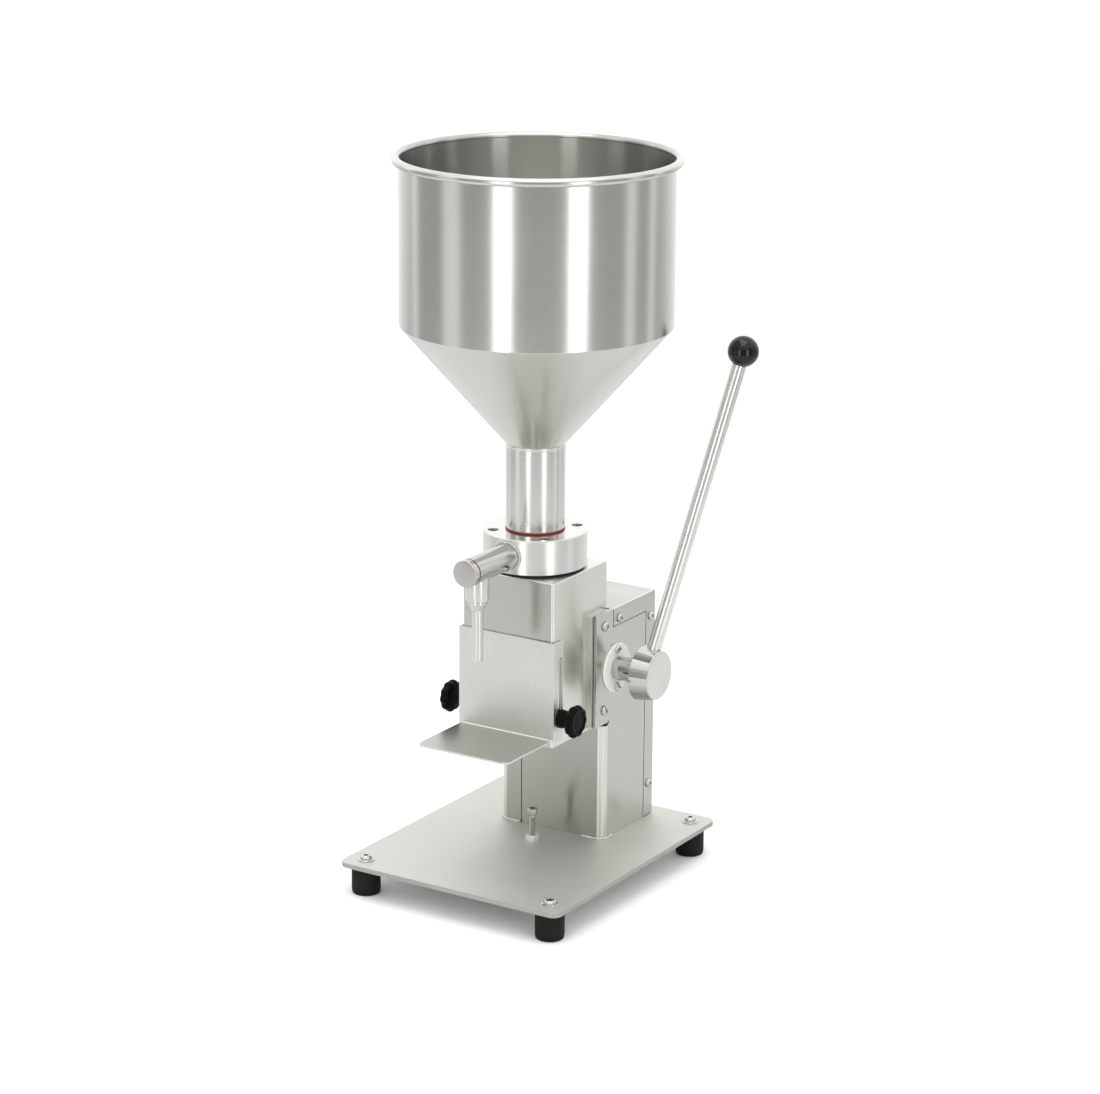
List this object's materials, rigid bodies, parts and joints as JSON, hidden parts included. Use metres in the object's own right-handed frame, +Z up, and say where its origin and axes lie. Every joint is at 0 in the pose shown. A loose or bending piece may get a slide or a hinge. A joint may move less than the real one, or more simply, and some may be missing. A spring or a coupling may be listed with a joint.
{
  "type": "manual honey filling machine",
  "caption": "Bench piston filler: a steel hopper over a head with an outlet nozzle, a side lever, an adjustable jar shelf and a base on rubber feet.",
  "frame": {"origin": "on the bench, straight under the hopper's and the piston's common axis", "axes": "+Z up along the hopper's axis; -Y to the front, where the nozzle and the shelf are; +X to the lever's side"},
  "size_m": [0.3217, 0.32, 0.7553],
  "materials": {
    "brushed_steel": "brushed stainless steel, warm light grey",
    "polished_steel": "turned and polished stainless steel",
    "dark_steel": "machined steel",
    "screw_steel": "bright stainless screws",
    "black_plastic": "moulded black plastic, satin",
    "black_gloss": "black phenolic, gloss",
    "rubber": "matt black rubber",
    "red_rubber": "red-brown silicone rubber",
    "white_plastic": "white acetal or PTFE, satin"
  },
  "bodies": {
    "machine": {"base_plate": "brushed_steel", "foot_front_left": "rubber", "foot_front_right": "rubber", "foot_rear_left": "rubber", "foot_rear_right": "rubber", "foot_screws": "screw_steel", "column_side_left": "brushed_steel", "column_side_right": "brushed_steel", "column_front_panel": "brushed_steel", "weld_beads": "polished_steel", "rear_cover": "brushed_steel", "cover_cleats": "dark_steel", "cover_screws": "screw_steel", "front_box": "brushed_steel", "box_doubler_left": "brushed_steel", "box_doubler_right": "brushed_steel", "ear_bolts": "screw_steel", "rack_guide": "white_plastic", "head_gasket": "rubber", "head_disc": "polished_steel", "head_spigot": "polished_steel", "head_screws": "dark_steel", "outlet_pipe": "polished_steel", "nozzle_socket": "polished_steel", "nozzle_tube": "polished_steel", "end_plug": "polished_steel", "plug_o_ring": "red_rubber", "hopper_o_ring": "red_rubber", "hopper_wall": "brushed_steel", "hopper_cone": "brushed_steel", "hopper_spout": "polished_steel", "pump_cylinder": "polished_steel", "bushing_left": "white_plastic", "bushing_right": "white_plastic", "bushing_screws": "screw_steel", "stop_nut": "screw_steel", "valve_spider": "polished_steel", "inlet_spring": "dark_steel", "outlet_spring": "dark_steel"},
    "lever": {"drive_gear": "dark_steel", "gear_key": "dark_steel", "lever_shaft": "polished_steel", "shaft_ring": "dark_steel", "lever_hub": "polished_steel", "lever_rod": "polished_steel", "ball_knob": "black_gloss"},
    "piston_rod": {"piston": "white_plastic", "piston_seals": "rubber", "rack_rod": "dark_steel"},
    "shelf": {"shelf_bracket": "brushed_steel"},
    "left_knob": {"knob_left": "black_plastic", "stud_left": "screw_steel"},
    "right_knob": {"knob_right": "black_plastic", "stud_right": "screw_steel"},
    "stop": {"stop_screw": "screw_steel"},
    "inlet": {"inlet_valve": "polished_steel", "inlet_nut": "screw_steel"},
    "outlet": {"outlet_ball": "polished_steel"}
  },
  "joints": [
    {"name": "lever_swing", "type": "hinge", "parent": "machine", "child": "lever", "pos_m": [0, 0.0575, 0.219], "axis": [1, 0, 0], "range_deg": [0, 84]},
    {"name": "piston_stroke", "type": "slide", "parent": "machine", "child": "piston_rod", "axis": [0, 0, 1], "range_m": [-0.066, 0]},
    {"name": "shelf_height", "type": "slide", "parent": "machine", "child": "shelf", "axis": [0, 0, 1], "range_m": [-0.06, 0]},
    {"name": "left_knob_turn", "type": "hinge", "parent": "machine", "child": "left_knob", "pos_m": [-0.0576, -0.041, 0.19], "axis": [-1, 0, 0], "range_deg": [0, 360]},
    {"name": "right_knob_turn", "type": "hinge", "parent": "machine", "child": "right_knob", "pos_m": [0.0576, -0.041, 0.19], "axis": [1, 0, 0], "range_deg": [0, 360]},
    {"name": "stop_height", "type": "slide", "parent": "machine", "child": "stop", "axis": [0, 0, 1], "range_m": [-0.012, 0]},
    {"name": "inlet_valve_lift", "type": "slide", "parent": "machine", "child": "inlet", "axis": [0, 0, -1], "range_m": [0, 0.004], "stiffness_N_per_m": 400, "springref_m": -0.006, "deforming": ["inlet_spring"]},
    {"name": "outlet_valve_lift", "type": "slide", "parent": "machine", "child": "outlet", "axis": [0, -1, 0], "range_m": [0, 0.005], "stiffness_N_per_m": 300, "springref_m": -0.008, "deforming": ["outlet_spring"]}
  ],
  "couplings": [
    {"joint": "piston_stroke", "follows": "lever_swing", "m_per_rad": -0.045}
  ]
}
